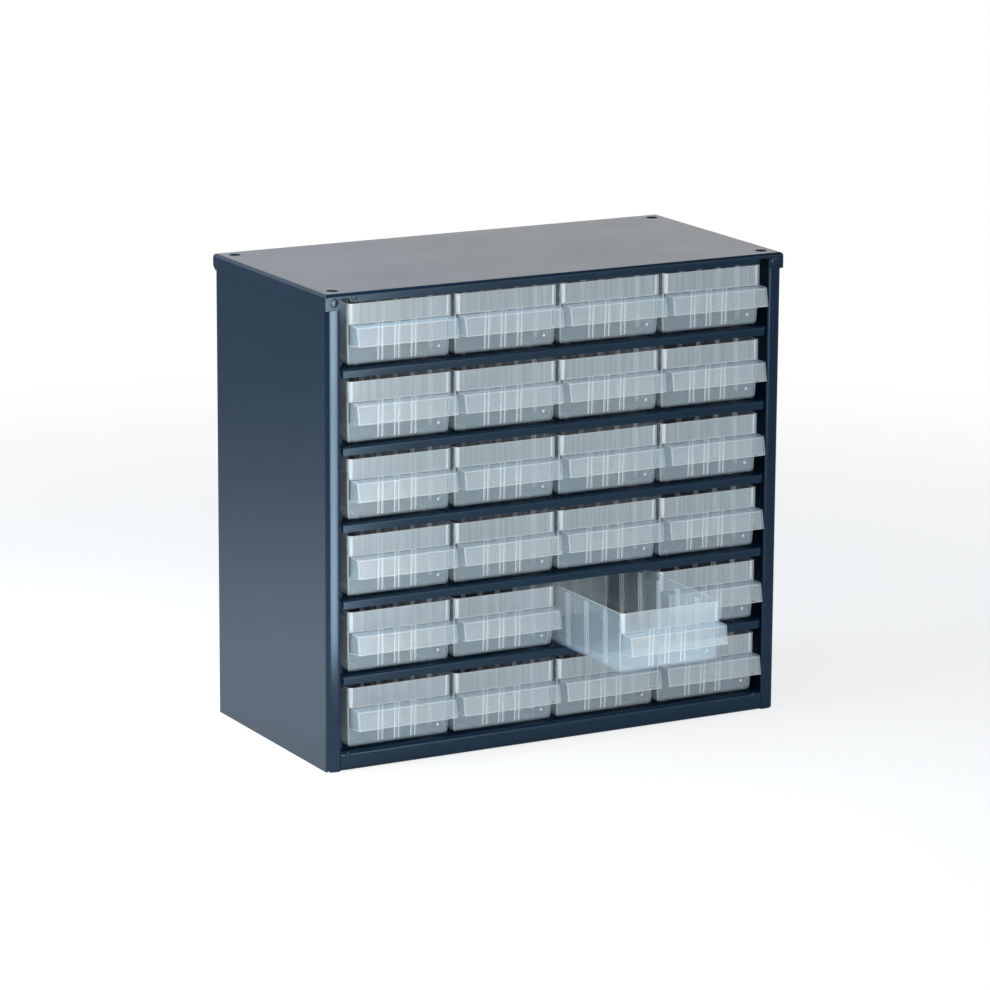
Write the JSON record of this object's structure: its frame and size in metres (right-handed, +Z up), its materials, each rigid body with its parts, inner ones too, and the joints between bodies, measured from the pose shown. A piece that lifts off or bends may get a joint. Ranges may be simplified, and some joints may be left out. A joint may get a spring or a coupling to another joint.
{
  "type": "parts bin cabinet",
  "caption": "Small-parts cabinet: a folded sheet-steel case with shelves, filled with rows of translucent drawers that slide out; each drawer has a hollow handle and slots for dividers.",
  "frame": {"origin": "middle of the case's footprint on the surface that it stands on", "axes": "+Z up, -Y the way the drawers open, +X to the right of a person who faces the drawers"},
  "size_m": [0.306, 0.2345, 0.283],
  "materials": {
    "case_paint": "semi-gloss dark blue enamel",
    "drawer_plastic": "natural translucent polypropylene"
  },
  "bodies": {
    "case": {"top_cover": "case_paint", "left_side_panel": "case_paint", "right_side_panel": "case_paint", "base_panel": "case_paint", "back_panel": "case_paint", "top_rail": "case_paint", "shelf_1": "case_paint", "shelf_2": "case_paint", "shelf_3": "case_paint", "shelf_4": "case_paint", "shelf_5": "case_paint"},
    "drawer_r1c1": {"drawer_r1c1": "drawer_plastic"},
    "drawer_r1c2": {"drawer_r1c2": "drawer_plastic"},
    "drawer_r1c3": {"drawer_r1c3": "drawer_plastic"},
    "drawer_r1c4": {"drawer_r1c4": "drawer_plastic"},
    "drawer_r2c1": {"drawer_r2c1": "drawer_plastic"},
    "drawer_r2c2": {"drawer_r2c2": "drawer_plastic"},
    "drawer_r2c3": {"drawer_r2c3": "drawer_plastic"},
    "drawer_r2c4": {"drawer_r2c4": "drawer_plastic"},
    "drawer_r3c1": {"drawer_r3c1": "drawer_plastic"},
    "drawer_r3c2": {"drawer_r3c2": "drawer_plastic"},
    "drawer_r3c3": {"drawer_r3c3": "drawer_plastic"},
    "drawer_r3c4": {"drawer_r3c4": "drawer_plastic"},
    "drawer_r4c1": {"drawer_r4c1": "drawer_plastic"},
    "drawer_r4c2": {"drawer_r4c2": "drawer_plastic"},
    "drawer_r4c3": {"drawer_r4c3": "drawer_plastic"},
    "drawer_r4c4": {"drawer_r4c4": "drawer_plastic"},
    "drawer_r5c1": {"drawer_r5c1": "drawer_plastic"},
    "drawer_r5c2": {"drawer_r5c2": "drawer_plastic"},
    "drawer_r5c3": {"drawer_r5c3": "drawer_plastic"},
    "drawer_r5c4": {"drawer_r5c4": "drawer_plastic"},
    "drawer_r6c1": {"drawer_r6c1": "drawer_plastic"},
    "drawer_r6c2": {"drawer_r6c2": "drawer_plastic"},
    "drawer_r6c3": {"drawer_r6c3": "drawer_plastic"},
    "drawer_r6c4": {"drawer_r6c4": "drawer_plastic"}
  },
  "joints": [
    {"name": "slide_r1c1", "type": "slide", "parent": "case", "child": "drawer_r1c1", "axis": [0, -1, 0], "range_m": [0, 0.1045]},
    {"name": "slide_r1c2", "type": "slide", "parent": "case", "child": "drawer_r1c2", "axis": [0, -1, 0], "range_m": [0, 0.1045]},
    {"name": "slide_r1c3", "type": "slide", "parent": "case", "child": "drawer_r1c3", "axis": [0, -1, 0], "range_m": [0, 0.1045]},
    {"name": "slide_r1c4", "type": "slide", "parent": "case", "child": "drawer_r1c4", "axis": [0, -1, 0], "range_m": [0, 0.1045]},
    {"name": "slide_r2c1", "type": "slide", "parent": "case", "child": "drawer_r2c1", "axis": [0, -1, 0], "range_m": [0, 0.1045]},
    {"name": "slide_r2c2", "type": "slide", "parent": "case", "child": "drawer_r2c2", "axis": [0, -1, 0], "range_m": [0, 0.1045]},
    {"name": "slide_r2c3", "type": "slide", "parent": "case", "child": "drawer_r2c3", "axis": [0, -1, 0], "range_m": [0, 0.1045]},
    {"name": "slide_r2c4", "type": "slide", "parent": "case", "child": "drawer_r2c4", "axis": [0, -1, 0], "range_m": [0, 0.1045]},
    {"name": "slide_r3c1", "type": "slide", "parent": "case", "child": "drawer_r3c1", "axis": [0, -1, 0], "range_m": [0, 0.1045]},
    {"name": "slide_r3c2", "type": "slide", "parent": "case", "child": "drawer_r3c2", "axis": [0, -1, 0], "range_m": [0, 0.1045]},
    {"name": "slide_r3c3", "type": "slide", "parent": "case", "child": "drawer_r3c3", "axis": [0, -1, 0], "range_m": [0, 0.1045]},
    {"name": "slide_r3c4", "type": "slide", "parent": "case", "child": "drawer_r3c4", "axis": [0, -1, 0], "range_m": [0, 0.1045]},
    {"name": "slide_r4c1", "type": "slide", "parent": "case", "child": "drawer_r4c1", "axis": [0, -1, 0], "range_m": [0, 0.1045]},
    {"name": "slide_r4c2", "type": "slide", "parent": "case", "child": "drawer_r4c2", "axis": [0, -1, 0], "range_m": [0, 0.1045]},
    {"name": "slide_r4c3", "type": "slide", "parent": "case", "child": "drawer_r4c3", "axis": [0, -1, 0], "range_m": [0, 0.1045]},
    {"name": "slide_r4c4", "type": "slide", "parent": "case", "child": "drawer_r4c4", "axis": [0, -1, 0], "range_m": [0, 0.1045]},
    {"name": "slide_r5c1", "type": "slide", "parent": "case", "child": "drawer_r5c1", "axis": [0, -1, 0], "range_m": [0, 0.1045]},
    {"name": "slide_r5c2", "type": "slide", "parent": "case", "child": "drawer_r5c2", "axis": [0, -1, 0], "range_m": [0, 0.1045]},
    {"name": "slide_r5c3", "type": "slide", "parent": "case", "child": "drawer_r5c3", "axis": [0, -1, 0], "range_m": [-0.0745, 0.03]},
    {"name": "slide_r5c4", "type": "slide", "parent": "case", "child": "drawer_r5c4", "axis": [0, -1, 0], "range_m": [0, 0.1045]},
    {"name": "slide_r6c1", "type": "slide", "parent": "case", "child": "drawer_r6c1", "axis": [0, -1, 0], "range_m": [0, 0.1045]},
    {"name": "slide_r6c2", "type": "slide", "parent": "case", "child": "drawer_r6c2", "axis": [0, -1, 0], "range_m": [0, 0.1045]},
    {"name": "slide_r6c3", "type": "slide", "parent": "case", "child": "drawer_r6c3", "axis": [0, -1, 0], "range_m": [0, 0.1045]},
    {"name": "slide_r6c4", "type": "slide", "parent": "case", "child": "drawer_r6c4", "axis": [0, -1, 0], "range_m": [0, 0.1045]}
  ]
}
